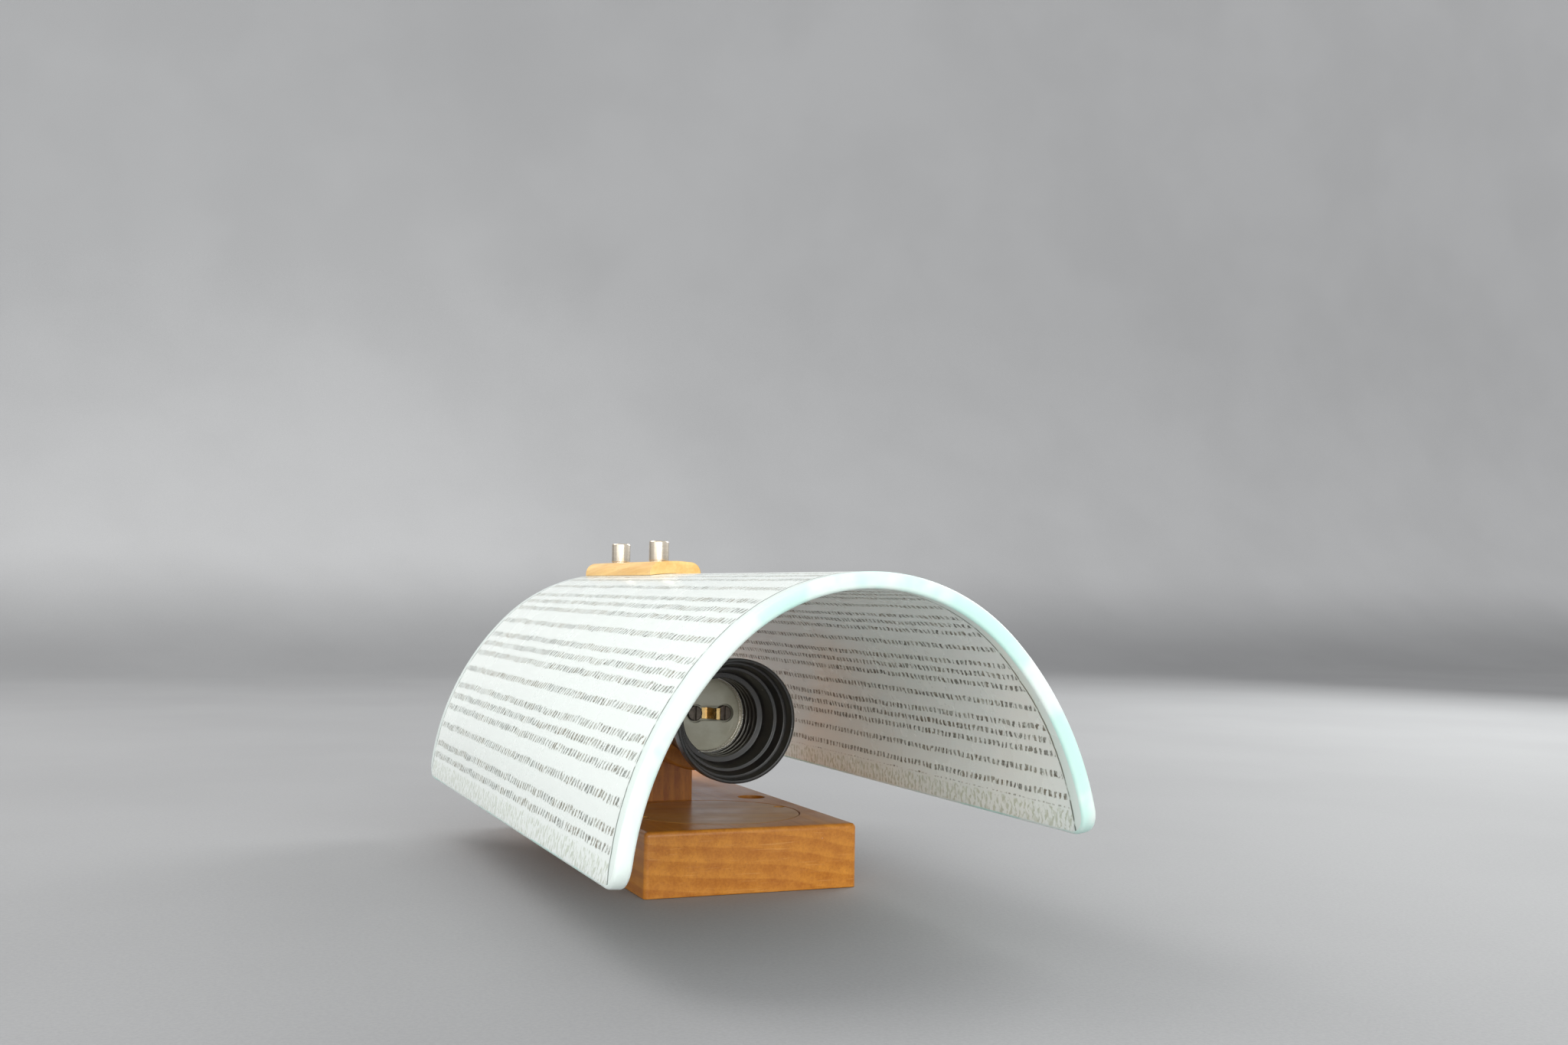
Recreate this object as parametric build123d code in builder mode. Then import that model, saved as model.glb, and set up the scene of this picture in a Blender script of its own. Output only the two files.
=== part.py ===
from build123d import *
from math import cos, radians, sin
import os

# A wall light that stands on its back: the wall is at z = 0, +Z points into the room,
# and the lamp and its bent glass shade lie along Y, with the lamp's mouth towards -Y.
# The origin is the centre of the base's back face. Sizes are in millimetres.

# Wooden base
base_length = 176.0
base_width = 79.0
base_thickness = 22.5
base_easing = 1.6
pocket_floor = 4.0
pocket_radius = 27.0

# Round wooden cover, let into the base's front
cover_from_end = 41.6
cover_radius = 32.0
cover_gap = 0.45
cover_thickness = 6.0
cover_screw_circle = 29.7
cover_screw_angle = 12.0
cover_hole_radius = 2.2
cover_screw_head_radius = 2.05
cover_screw_head = 1.4
cover_screw_radius = 1.2
cover_screw_length = 11.0
cover_screw_sink = 0.8

# Wall fixing holes and the mains inlet
wall_hole_spacing = 58.5
wall_hole_from_end = 77.5
wall_hole_radius = 2.25
wall_counterbore_radius = 5.5
wall_counterbore_depth = 8.0
inlet_radius = 6.0
inlet_from_end = 25.0
grommet_bore = 3.5
grommet_flange = 7.5
grommet_flange_thickness = 1.5

# Post, which stands a little to the left of the base's middle
post_offset = -6.5
post_width = 19.5
post_length = 90.0
post_from_end = 74.5
post_easing = 0.9
post_screw_radius = 2.25
post_screw_head_radius = 4.3
post_screw_length = 48.0
post_screw_spacing = 36.0

# Bent glass shade: a crown arc, then a flatter arc down each leg
glass_thickness = 5.0
ridge_height = 111.0
crown_radius = 65.0
crown_turn = 44.5
leg_radius = 104.0
left_leg_turn = 86.8
right_leg_turn = 81.8
shade_length = 275.0
shade_overhang = 1.5
shade_corner = 8.0
glass_hole_radius = 4.5

# Clamp on the ridge
clamp_width = 20.8
clamp_overhang = 3.0
clamp_height = 5.1
clamp_side = 0.7
clamp_corner = 4.8
clamp_rim = 1.5
pad_thickness = 0.9
pad_inset = 1.6
stud_radius = 2.0
stud_spacing = 53.0
stud_depth = 11.0
stud_reach = 5.6
insert_radius = 3.5
insert_length = 12.0
sleeve_short = 0.4
nut_radius = 4.0
nut_height = 8.0
nut_wall = 2.0
nut_chamfer = 0.6
washer_radius = 3.8
washer_thickness = 0.6

# Round wooden collar that carries the lampholder
collar_radius = 21.3
collar_length = 35.5
collar_easing = 1.0
holder_height = 59.5
dowel_radius = 3.0
dowel_length = 17.0
dowel_rises = (-13.0, 16.0)

# Lampholder with an E27 mouth, measured as depth from its rim and radius from its axis
holder_depth = 38.0
rim_radius = 21.75
rim_depth = 5.0
rim_wall = 1.2
waist_depth = 17.0
waist_radius = 18.6
tail_depth = 34.0
tail_radius = 15.8
first_step = 9.0
barrel_start = 16.8
barrel_wall = 1.4
step_drop = 1.2
ring_start = 30.0
ring_wall = 0.5
seat_radius = 14.0
thread_depth = 0.6
thread_pitch = 3.62
insert_face = 34.6
insert_recess = 4.0
lobe_radius = 3.4
lobe_offset = 2.5
lobe_spacing = 11.4
lobe_depth = 2.2
bridge_width = 5.4
holder_screw_radius = 1.5
holder_screw_head_radius = 2.8
holder_screw_head = 1.9
holder_screw_length = 20.0

# Contact strip in the insert
leaf_width = 4.2
leaf_thickness = 0.5
leaf_height = 5.2
foot_length = 2.1
foot_thickness = 0.5

# Wiring
wire_radius = 1.0
wire_side = 1.5
wire_bend = 6.0
wire_rise = 8.0
wire_level = 9.5
wire_bore = 3.5
wire_setback = 14.5
wire_straight = 3.0
wire_spread = 8.0
slot_height = 13.5
terminal_side = 4.5
terminal_block_length = 12.0
terminal_block_width = 18.0
terminal_block_height = 9.0
terminal_screw_radius = 1.6
terminal_screw_height = 0.8
contact_post_width = 4.0
contact_post_height = 5.0
contact_post_length = 4.0

# Clearances
fit = 0.05
wood_fit = 0.1
overlap = 1.0

# Places that follow from the sizes
near_end = -base_length / 2
cover_y = near_end + cover_from_end
wall_hole_y = near_end + wall_hole_from_end
inlet_y = near_end + inlet_from_end
post_near = near_end + post_from_end
post_far = post_near + post_length
post_middle = (post_near + post_far) / 2
shade_far = post_far + shade_overhang
crown_centre = ridge_height - crown_radius
pad_inner_radius = crown_radius - glass_thickness - fit
post_top_radius = pad_inner_radius - pad_thickness - fit
post_top = crown_centre + post_top_radius
clamp_bottom_radius = crown_radius + pad_thickness + 2 * fit
clamp_top = ridge_height + clamp_height
stud_ys = (post_middle - stud_spacing / 2, post_middle + stud_spacing / 2)
stud_top = clamp_top + stud_reach
collar_near = post_near - collar_length
mouth_y = collar_near - holder_depth
ledge_height = base_thickness - cover_thickness
wire_y = post_near + wire_setback
wire_z = holder_height + wire_rise
insert_back = holder_depth + insert_recess
block_far = cover_y + terminal_block_length / 2

parts = []


def finish_part(builder, name):
    builder.part.label = name
    os.makedirs("parts", exist_ok=True)
    export_step(builder.part, f"parts/{name}.step")
    parts.append(name)


def cross_plane(y):
    """A plane across the lamp's axis: local x is X, local y is Z, and it faces -Y."""
    return Plane(origin=(0, y, 0), x_dir=(1, 0, 0), z_dir=(0, -1, 0))


def level_plane(z, x=0.0, y=0.0):
    return Plane(origin=(x, y, z), x_dir=(1, 0, 0), z_dir=(0, 0, 1))


def cover_screw_places():
    turn = radians(cover_screw_angle)
    step = (cover_screw_circle * cos(turn), cover_screw_circle * sin(turn))
    return [(step[0], cover_y + step[1]), (-step[0], cover_y - step[1])]


# The lampholder is drawn in depth from its mouth and radius from its axis
holder_plane = Plane(origin=(post_offset, mouth_y, holder_height), x_dir=(0, 1, 0), z_dir=(1, 0, 0))
holder_axis = Axis((post_offset, mouth_y, holder_height), (0, 1, 0))

# Base: a block with the cover's recess, a wiring pocket, wall holes and a slot for the wires
with BuildPart() as base_block:
    with BuildSketch():
        Rectangle(base_width, base_length)
    extrude(amount=base_thickness)
    fillet(base_block.edges().filter_by(Axis.Z), base_easing)
    fillet(base_block.faces().sort_by(Axis.Z)[-1].edges(), base_easing)
    with BuildSketch(level_plane(base_thickness)):
        with Locations((0, cover_y)):
            Circle(cover_radius + cover_gap)
    extrude(amount=-cover_thickness, mode=Mode.SUBTRACT)
    with BuildSketch(level_plane(ledge_height)):
        with Locations((0, cover_y)):
            Circle(pocket_radius)
    extrude(amount=pocket_floor - ledge_height, mode=Mode.SUBTRACT)
    with BuildSketch(level_plane(ledge_height)):
        with Locations(*cover_screw_places()):
            Circle(cover_screw_radius + fit)
    extrude(amount=-cover_screw_length, mode=Mode.SUBTRACT)
    with BuildSketch():
        with Locations((post_offset, inlet_y)):
            Circle(inlet_radius)
    extrude(amount=pocket_floor, mode=Mode.SUBTRACT)
    with BuildSketch():
        with Locations((post_offset, (cover_y + pocket_radius - wire_bore + wire_y) / 2)):
            SlotCenterToCenter(wire_y - cover_y - pocket_radius + wire_bore, 2 * wire_bore + overlap,
                               rotation=90)
    extrude(amount=slot_height, mode=Mode.SUBTRACT)
    with BuildSketch():
        with Locations((post_offset, wire_y)):
            Circle(wire_bore)
    extrude(amount=base_thickness, mode=Mode.SUBTRACT)
    with Locations(level_plane(base_thickness, y=wall_hole_y)):
        with GridLocations(wall_hole_spacing, 0, 2, 1):
            CounterBoreHole(wall_hole_radius, wall_counterbore_radius, wall_counterbore_depth)
    with Locations(Plane(origin=(post_offset, post_middle, 0), x_dir=(1, 0, 0), z_dir=(0, 0, -1))):
        with GridLocations(0, post_screw_spacing, 1, 2):
            CounterSinkHole(post_screw_radius + fit, post_screw_head_radius + wood_fit)
finish_part(base_block, "base_block")

# Cover: a flush disc with two small screw holes near its rim
with BuildPart() as cover_disc:
    with BuildSketch(level_plane(ledge_height)):
        with Locations((0, cover_y)):
            Circle(cover_radius)
    extrude(amount=cover_thickness)
    fillet(cover_disc.faces().sort_by(Axis.Z)[-1].edges(), cover_gap)
    with BuildSketch(level_plane(base_thickness)):
        with Locations(*cover_screw_places()):
            Circle(cover_hole_radius)
    extrude(amount=-cover_screw_sink - cover_screw_head, mode=Mode.SUBTRACT)
    with BuildSketch(level_plane(ledge_height)):
        with Locations(*cover_screw_places()):
            Circle(cover_screw_radius + fit)
    extrude(amount=cover_thickness, mode=Mode.SUBTRACT)
finish_part(cover_disc, "cover_disc")

with BuildPart() as cover_screws:
    head_top = base_thickness - cover_screw_sink
    with BuildSketch(level_plane(head_top - cover_screw_head)):
        with Locations(*cover_screw_places()):
            Circle(cover_screw_head_radius)
    extrude(amount=cover_screw_head)
    with BuildSketch(level_plane(head_top)):
        for x, y in cover_screw_places():
            with Locations((x, y)):
                Rectangle(2 * cover_screw_head_radius, cover_screw_head / 2)
    extrude(amount=-cover_screw_head / 2, mode=Mode.SUBTRACT)
    with BuildSketch(level_plane(head_top - cover_screw_head)):
        with Locations(*cover_screw_places()):
            Circle(cover_screw_radius)
    extrude(amount=-cover_screw_length)
finish_part(cover_screws, "cover_screws")

# Mains inlet and terminals, under the cover
with BuildPart() as cable_grommet:
    with BuildSketch(level_plane(0)):
        with Locations((post_offset, inlet_y)):
            Circle(inlet_radius - fit)
    extrude(amount=pocket_floor)
    with BuildSketch(level_plane(pocket_floor)):
        with Locations((post_offset, inlet_y)):
            Circle(grommet_flange)
    extrude(amount=grommet_flange_thickness)
    with BuildSketch(level_plane(0)):
        with Locations((post_offset, inlet_y)):
            Circle(grommet_bore)
    extrude(amount=pocket_floor + grommet_flange_thickness, mode=Mode.SUBTRACT)
finish_part(cable_grommet, "cable_grommet")

block_top = pocket_floor + terminal_block_height
with BuildPart() as terminal_block:
    with BuildSketch(level_plane(pocket_floor)):
        with Locations((post_offset, cover_y)):
            Rectangle(terminal_block_width, terminal_block_length)
    extrude(amount=terminal_block_height)
    fillet(terminal_block.edges().filter_by(Axis.Z), 1)
    with BuildSketch(level_plane(block_top)):
        with Locations((post_offset, cover_y)):
            with GridLocations(2 * terminal_side, 0, 2, 1):
                Circle(terminal_screw_radius + fit)
    extrude(amount=-terminal_block_height / 2, mode=Mode.SUBTRACT)
finish_part(terminal_block, "terminal_block")

with BuildPart() as terminal_screws:
    with BuildSketch(level_plane(block_top - terminal_block_height / 2)):
        with Locations((post_offset, cover_y)):
            with GridLocations(2 * terminal_side, 0, 2, 1):
                Circle(terminal_screw_radius)
    extrude(amount=terminal_block_height / 2 - terminal_screw_height)
finish_part(terminal_screws, "terminal_screws")

# Two wires run from the terminals through the slot, up the post and out to the lampholder
terminal_y = mouth_y + insert_back + contact_post_length


def wire_path(side):
    outer = post_offset + side * terminal_side
    inner = post_offset + side * wire_side
    return [
        (outer, block_far, wire_level),
        (outer, block_far + wire_straight, wire_level),
        (inner, block_far + wire_straight + wire_spread, wire_level),
        (inner, wire_y, wire_level),
        (inner, wire_y, wire_z),
        (inner, terminal_y + wire_straight + wire_spread, wire_z),
        (outer, terminal_y + wire_straight, wire_z),
        (outer, terminal_y, wire_z),
    ]


for name, side in (("wire_live", 1), ("wire_neutral", -1)):
    with BuildPart() as wire:
        with BuildLine() as route:
            FilletPolyline(wire_path(side), radius=wire_bend)
        with BuildSketch(Plane(origin=route.line @ 0, z_dir=route.line % 0)):
            Circle(wire_radius)
        sweep()
    finish_part(wire, name)

# Post: a board on edge, its top rounded to the inside of the glass
with BuildPart() as post:
    with BuildSketch(cross_plane(post_far)):
        with Locations((post_offset, (base_thickness + ridge_height) / 2)):
            Rectangle(post_width, ridge_height - base_thickness)
        with Locations((post_offset, crown_centre)):
            Circle(post_top_radius, mode=Mode.INTERSECT)
    extrude(amount=post_length)
    fillet(post.edges().filter_by(Axis.Z), post_easing)
    with BuildSketch(level_plane(base_thickness)):
        with Locations((post_offset, wire_y)):
            Circle(wire_bore)
    extrude(amount=wire_z + wire_bore - base_thickness, mode=Mode.SUBTRACT)
    with BuildSketch(cross_plane(post_near)):
        with Locations((post_offset, wire_z)):
            Circle(wire_bore)
    extrude(amount=-wire_setback - wire_bore, mode=Mode.SUBTRACT)
    with BuildSketch(cross_plane(post_near)):
        for rise in dowel_rises:
            with Locations((post_offset, holder_height + rise)):
                Circle(dowel_radius + fit)
    extrude(amount=-dowel_length / 2, mode=Mode.SUBTRACT)
    with BuildSketch(level_plane(base_thickness)):
        with Locations((post_offset, post_middle)):
            with GridLocations(0, post_screw_spacing, 1, 2):
                Circle(post_screw_radius + fit)
    extrude(amount=post_screw_length - base_thickness, mode=Mode.SUBTRACT)
    with BuildSketch(level_plane(post_top - insert_length)):
        with Locations((post_offset, stud_ys[0]), (post_offset, stud_ys[1])):
            Circle(insert_radius + fit)
    extrude(amount=insert_length + overlap, mode=Mode.SUBTRACT)
finish_part(post, "post")

with BuildPart() as post_screws:
    with BuildSketch(Plane(origin=(post_offset, post_middle - post_screw_spacing / 2, 0),
                           x_dir=(1, 0, 0), z_dir=(0, -1, 0))):
        with BuildLine():
            Polyline(
                (0, 0.2),
                (post_screw_head_radius - 0.2, 0.2),
                (post_screw_radius, post_screw_head_radius - post_screw_radius),
                (post_screw_radius, post_screw_length - 2 * post_screw_radius),
                (0, post_screw_length - overlap),
                close=True,
            )
        make_face()
    revolve(axis=Axis((post_offset, post_middle - post_screw_spacing / 2, 0), (0, 0, 1)))
    mirror(about=Plane(origin=(0, post_middle, 0), z_dir=(0, 1, 0)))
finish_part(post_screws, "post_screws")

# Collar: a turned cylinder between the post and the lampholder
with BuildPart() as collar:
    with BuildSketch(cross_plane(post_near)):
        with Locations((post_offset, holder_height)):
            Circle(collar_radius)
    extrude(amount=collar_length)
    fillet(collar.edges().filter_by(GeomType.CIRCLE), collar_easing)
    with BuildSketch(cross_plane(collar_near)):
        with Locations((post_offset, holder_height)):
            Circle(seat_radius + fit)
    extrude(amount=-insert_recess, mode=Mode.SUBTRACT)
    with BuildSketch(cross_plane(collar_near + insert_recess)):
        with Locations((post_offset, wire_z)):
            Rectangle(2 * (terminal_side + contact_post_width / 2) + overlap, contact_post_height + overlap)
    extrude(amount=-contact_post_length - 2 * overlap, mode=Mode.SUBTRACT)
    with BuildSketch(cross_plane(post_near)):
        with Locations((post_offset, wire_z)):
            Circle(wire_bore)
    extrude(amount=collar_length - insert_recess, mode=Mode.SUBTRACT)
    with BuildSketch(cross_plane(terminal_y + wire_straight + wire_spread)):
        with Locations((post_offset, wire_z)):
            Rectangle(2 * (terminal_side + contact_post_width / 2) + overlap, 2 * wire_bore)
    extrude(amount=wire_straight + wire_spread, mode=Mode.SUBTRACT)
    with BuildSketch(cross_plane(collar_near)):
        with Locations((post_offset + lobe_offset, holder_height)):
            with GridLocations(lobe_spacing, 0, 2, 1):
                Circle(holder_screw_radius + fit)
    extrude(amount=insert_face + lobe_depth - holder_depth - holder_screw_length, mode=Mode.SUBTRACT)
    with BuildSketch(cross_plane(post_near)):
        for rise in dowel_rises:
            with Locations((post_offset, holder_height + rise)):
                Circle(dowel_radius + fit)
    extrude(amount=dowel_length / 2, mode=Mode.SUBTRACT)
finish_part(collar, "collar")

with BuildPart() as collar_dowels:
    with BuildSketch(cross_plane(post_near + dowel_length / 2)):
        for rise in dowel_rises:
            with Locations((post_offset, holder_height + rise)):
                Circle(dowel_radius)
    extrude(amount=dowel_length)
finish_part(collar_dowels, "collar_dowels")

# Lampholder shell: a short rim, a flare that narrows, and a stepped mouth down to the screw barrel
with BuildPart() as lampholder_shell:
    with BuildSketch(holder_plane):
        with BuildLine():
            mouth_inside = rim_radius - rim_wall
            waist_inside = waist_radius - barrel_wall - step_drop
            Polyline(
                (0, mouth_inside),
                (0, rim_radius - 0.5),
                (0.5, rim_radius),
                (rim_depth, rim_radius),
                (waist_depth, waist_radius),
                (tail_depth, tail_radius),
                (holder_depth, tail_radius),
                (holder_depth, seat_radius),
                (barrel_start, seat_radius),
                (barrel_start, waist_inside),
                (first_step, waist_inside + step_drop),
                (first_step, waist_inside + 2 * step_drop),
                (rim_depth, mouth_inside - step_drop),
                (rim_depth, mouth_inside - 0.2),
                close=True,
            )
        make_face()
        turns = int((ring_start - barrel_start) / thread_pitch)
        for turn in range(turns):
            with Locations((barrel_start + (turn + 0.7) * thread_pitch, seat_radius)):
                Circle(thread_depth, mode=Mode.SUBTRACT)
    revolve(axis=holder_axis)
finish_part(lampholder_shell, "lampholder_shell")

# Screw ring: the bright metal end of the screw barrel, with one rolled bead
with BuildPart() as thread_ring:
    ring_outer = seat_radius - fit
    with BuildSketch(holder_plane):
        with BuildLine():
            Polyline(
                (ring_start, ring_outer - ring_wall),
                (ring_start, ring_outer),
                (insert_face - fit, ring_outer),
                (insert_face - fit, ring_outer - ring_wall),
                close=True,
            )
        make_face()
        with Locations(((ring_start + insert_face) / 2, ring_outer - ring_wall)):
            Circle(ring_wall / 2)
    revolve(axis=holder_axis)
finish_part(thread_ring, "thread_ring")

lobe_xs = (post_offset + lobe_offset - lobe_spacing / 2, post_offset + lobe_offset + lobe_spacing / 2)
with BuildPart() as porcelain_insert:
    with BuildSketch(cross_plane(mouth_y + insert_back)):
        with Locations((post_offset, holder_height)):
            Circle(seat_radius - fit)
    extrude(amount=insert_back - insert_face)
    with BuildSketch(cross_plane(mouth_y + insert_face)):
        with Locations((lobe_xs[0], holder_height), (lobe_xs[1], holder_height)):
            Circle(lobe_radius)
        with Locations((post_offset + lobe_offset, holder_height)):
            Rectangle(lobe_spacing, bridge_width)
        with Locations((post_offset, holder_height)):
            Circle(seat_radius - 2 * ring_wall, mode=Mode.INTERSECT)
    extrude(amount=-lobe_depth, mode=Mode.SUBTRACT)
    with BuildSketch(cross_plane(mouth_y + insert_face)):
        with Locations((lobe_xs[0], holder_height), (lobe_xs[1], holder_height)):
            Circle(holder_screw_radius + fit)
    extrude(amount=insert_face - insert_back, mode=Mode.SUBTRACT)
finish_part(porcelain_insert, "porcelain_insert")

floor_y = mouth_y + insert_face + lobe_depth
with BuildPart() as lampholder_screws:
    with BuildSketch(cross_plane(floor_y)):
        with Locations((lobe_xs[0], holder_height), (lobe_xs[1], holder_height)):
            Circle(holder_screw_head_radius)
    extrude(amount=holder_screw_head)
    fillet(lampholder_screws.faces().sort_by(Axis.Y)[0:2].edges(), 0.4)
    with BuildSketch(cross_plane(floor_y - holder_screw_head)):
        with Locations((lobe_xs[0], holder_height), (lobe_xs[1], holder_height)):
            Rectangle(0.8, 2 * holder_screw_head_radius)
    extrude(amount=-holder_screw_head / 2, mode=Mode.SUBTRACT)
    with BuildSketch(cross_plane(floor_y)):
        with Locations((lobe_xs[0], holder_height), (lobe_xs[1], holder_height)):
            Circle(holder_screw_radius)
    extrude(amount=-holder_screw_length + overlap)
finish_part(lampholder_screws, "lampholder_screws")

# Contact: a fixed foot between the screw heads and a sprung leaf that the lamp presses in
foot_left = lobe_xs[0] + holder_screw_head_radius + 0.2
foot_right = foot_left + foot_length
with BuildPart() as contact_foot:
    with BuildSketch(cross_plane(floor_y)):
        with Locations(((foot_left + foot_right) / 2, holder_height)):
            Rectangle(foot_length, leaf_width)
    extrude(amount=foot_thickness)
finish_part(contact_foot, "contact_foot")

leaf_pivot = (foot_right, floor_y - foot_thickness - 0.1, holder_height)
leaf_plane = Plane(origin=(foot_right + 0.1, floor_y - foot_thickness, holder_height - leaf_width / 2),
                   x_dir=(1, 0, 0), z_dir=(0, 0, 1))
with BuildPart() as contact_leaf:
    with BuildSketch(leaf_plane):
        with BuildLine():
            Polyline(
                (0, 0),
                (0.9, 1 - leaf_height),
                (1.7, -leaf_height),
                (3.0, -leaf_height),
                (3.6, 0.8 - leaf_height),
                (3.2, 1.1 - leaf_height),
                (2.8, leaf_thickness - leaf_height),
                (1.9, leaf_thickness - leaf_height),
                (1.4, 1.2 - leaf_height),
                (leaf_thickness, 0),
                close=True,
            )
        make_face()
    extrude(amount=leaf_width)
finish_part(contact_leaf, "contact_leaf")

with BuildPart() as contact_posts:
    with BuildSketch(cross_plane(terminal_y)):
        with Locations((post_offset, wire_z)):
            with GridLocations(2 * terminal_side, 0, 2, 1):
                Rectangle(contact_post_width, contact_post_height)
    extrude(amount=contact_post_length)
    fillet(contact_posts.edges().filter_by(Axis.Y), 0.4)
finish_part(contact_posts, "contact_posts")


def shade_face(offset):
    """The shade's middle-to-edge arcs at a distance inside its outer face, from left to right."""
    crown = (post_offset, crown_centre)
    lean = radians(crown_turn)
    shift = leg_radius - crown_radius
    left = (crown[0] + shift * sin(lean), crown[1] - shift * cos(lean))
    right = (crown[0] - shift * sin(lean), crown[1] - shift * cos(lean))
    return [
        (left, leg_radius - offset, 90 + crown_turn, left_leg_turn - crown_turn),
        (crown, crown_radius - offset, 90 - crown_turn, 2 * crown_turn),
        (right, leg_radius - offset, 90 - right_leg_turn, right_leg_turn - crown_turn),
    ]


# Shade: one bent sheet with rounded corners and two holes on the ridge
with BuildPart() as shade_glass:
    with BuildSketch(cross_plane(shade_far)):
        with BuildLine():
            outside = [CenterArc(*arc) for arc in shade_face(0)]
            inside = [CenterArc(*arc) for arc in shade_face(glass_thickness)]
            Line(outside[0] @ 1, inside[0] @ 1)
            Line(outside[2] @ 0, inside[2] @ 0)
        make_face()
    extrude(amount=shade_length)
    corners = shade_glass.edges().filter_by(lambda e: abs(e.length - glass_thickness) < 0.01)
    fillet(corners, shade_corner)
    with BuildSketch(level_plane(ridge_height + overlap)):
        with Locations((post_offset, stud_ys[0]), (post_offset, stud_ys[1])):
            Circle(glass_hole_radius)
    extrude(amount=-glass_thickness - 2 * overlap, mode=Mode.SUBTRACT)
finish_part(shade_glass, "shade_glass")


# Curved pads below and above the glass, with holes for the studs' sleeves
pad_length = post_length - 2 * pad_inset
for name, inner in (("lower_pad", pad_inner_radius - pad_thickness), ("upper_pad", crown_radius + fit)):
    with BuildPart() as pad:
        with BuildSketch(cross_plane(post_far - pad_inset)):
            with Locations((post_offset, crown_centre)):
                Circle(inner + pad_thickness)
                Circle(inner, mode=Mode.SUBTRACT)
            with Locations((post_offset, ridge_height)):
                Rectangle(clamp_width - 2 * pad_inset, crown_radius, mode=Mode.INTERSECT)
        extrude(amount=pad_length)
        with BuildSketch(level_plane(ridge_height + crown_radius / 2)):
            with Locations((post_offset, stud_ys[0]), (post_offset, stud_ys[1])):
                Circle(glass_hole_radius)
        extrude(amount=-crown_radius, mode=Mode.SUBTRACT)
    finish_part(pad, name)

# Clamp bar: a flat bar with a rounded top, hollowed below for the glass and for the pad
with BuildPart() as clamp_bar:
    with BuildSketch(cross_plane(post_far)):
        half = clamp_width / 2
        shoulder = half - clamp_corner
        edge_z = ridge_height + clamp_side
        top_z = clamp_top - 0.35
        bend = clamp_corner * cos(radians(45))
        with BuildLine():
            Line((post_offset - half, ridge_height - 1), (post_offset - half, edge_z))
            ThreePointArc(
                (post_offset - half, edge_z),
                (post_offset - shoulder - bend, top_z - (top_z - edge_z) * (1 - cos(radians(45)))),
                (post_offset - shoulder, top_z),
            )
            ThreePointArc((post_offset - shoulder, top_z), (post_offset, clamp_top), (post_offset + shoulder, top_z))
            ThreePointArc(
                (post_offset + shoulder, top_z),
                (post_offset + shoulder + bend, top_z - (top_z - edge_z) * (1 - cos(radians(45)))),
                (post_offset + half, edge_z),
            )
            Polyline(
                (post_offset + half, edge_z),
                (post_offset + half, ridge_height - 1),
                (post_offset - half, ridge_height - 1),
            )
        make_face()
        with Locations((post_offset, crown_centre)):
            Circle(crown_radius + 2 * fit, mode=Mode.SUBTRACT)
    extrude(amount=post_length + clamp_overhang)
    with BuildSketch(cross_plane(post_far - clamp_rim)):
        with Locations((post_offset, crown_centre)):
            Circle(clamp_bottom_radius)
        with Locations((post_offset, ridge_height)):
            Rectangle(clamp_width - 2 * clamp_rim, crown_radius, mode=Mode.INTERSECT)
    extrude(amount=post_length - 2 * clamp_rim, mode=Mode.SUBTRACT)
    with BuildSketch(level_plane(clamp_top + overlap)):
        with Locations((post_offset, stud_ys[0]), (post_offset, stud_ys[1])):
            Circle(stud_radius + 3 * wood_fit)
    extrude(amount=-clamp_height - overlap, mode=Mode.SUBTRACT)
    with BuildSketch(level_plane(clamp_top - 0.35)):
        with Locations((post_offset, stud_ys[0]), (post_offset, stud_ys[1])):
            Circle(nut_radius + wood_fit)
    extrude(amount=overlap, mode=Mode.SUBTRACT)
finish_part(clamp_bar, "clamp_bar")

# Studs in brass inserts, with sleeves where they pass through the glass
seat_z = clamp_top - 0.35
with BuildPart() as stud_inserts:
    with BuildSketch(level_plane(post_top - insert_length)):
        with Locations((post_offset, stud_ys[0]), (post_offset, stud_ys[1])):
            Circle(insert_radius)
            Circle(stud_radius + fit, mode=Mode.SUBTRACT)
    extrude(amount=insert_length - fit)
finish_part(stud_inserts, "stud_inserts")

with BuildPart() as studs:
    with BuildSketch(level_plane(post_top - stud_depth)):
        with Locations((post_offset, stud_ys[0]), (post_offset, stud_ys[1])):
            Circle(stud_radius)
    extrude(amount=stud_top - post_top + stud_depth)
    chamfer(studs.faces().sort_by(Axis.Z)[-2:].edges(), 0.4)
finish_part(studs, "studs")

with BuildPart() as glass_sleeves:
    with BuildSketch(level_plane(ridge_height - glass_thickness - pad_thickness)):
        with Locations((post_offset, stud_ys[0]), (post_offset, stud_ys[1])):
            Circle(glass_hole_radius - fit)
            Circle(stud_radius + fit, mode=Mode.SUBTRACT)
    extrude(amount=glass_thickness + 2 * pad_thickness - sleeve_short)
finish_part(glass_sleeves, "glass_sleeves")

nut_z = seat_z + washer_thickness
for name, y in zip(("near", "far"), stud_ys):
    with BuildPart() as washer:
        with BuildSketch(level_plane(seat_z)):
            with Locations((post_offset, y)):
                Circle(washer_radius)
                Circle(stud_radius + fit, mode=Mode.SUBTRACT)
        extrude(amount=washer_thickness)
    finish_part(washer, f"{name}_washer")

    with BuildPart() as nut:
        with BuildSketch(level_plane(nut_z)):
            with Locations((post_offset, y)):
                Circle(nut_radius)
        extrude(amount=nut_height)
        chamfer(nut.faces().sort_by(Axis.Z)[-1].edges(), nut_chamfer)
        with BuildSketch(level_plane(nut_z)):
            with Locations((post_offset, y)):
                Circle(stud_radius + fit)
        extrude(amount=nut_height - nut_wall, mode=Mode.SUBTRACT)
    finish_part(nut, f"{name}_nut")

print("parts", len(parts), parts)
print("mouth", mouth_y, "terminals", terminal_y, "leaf pivot", leaf_pivot)
print("studs", stud_ys, "nut foot", nut_z, "post top", post_top)
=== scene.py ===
import math

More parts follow.
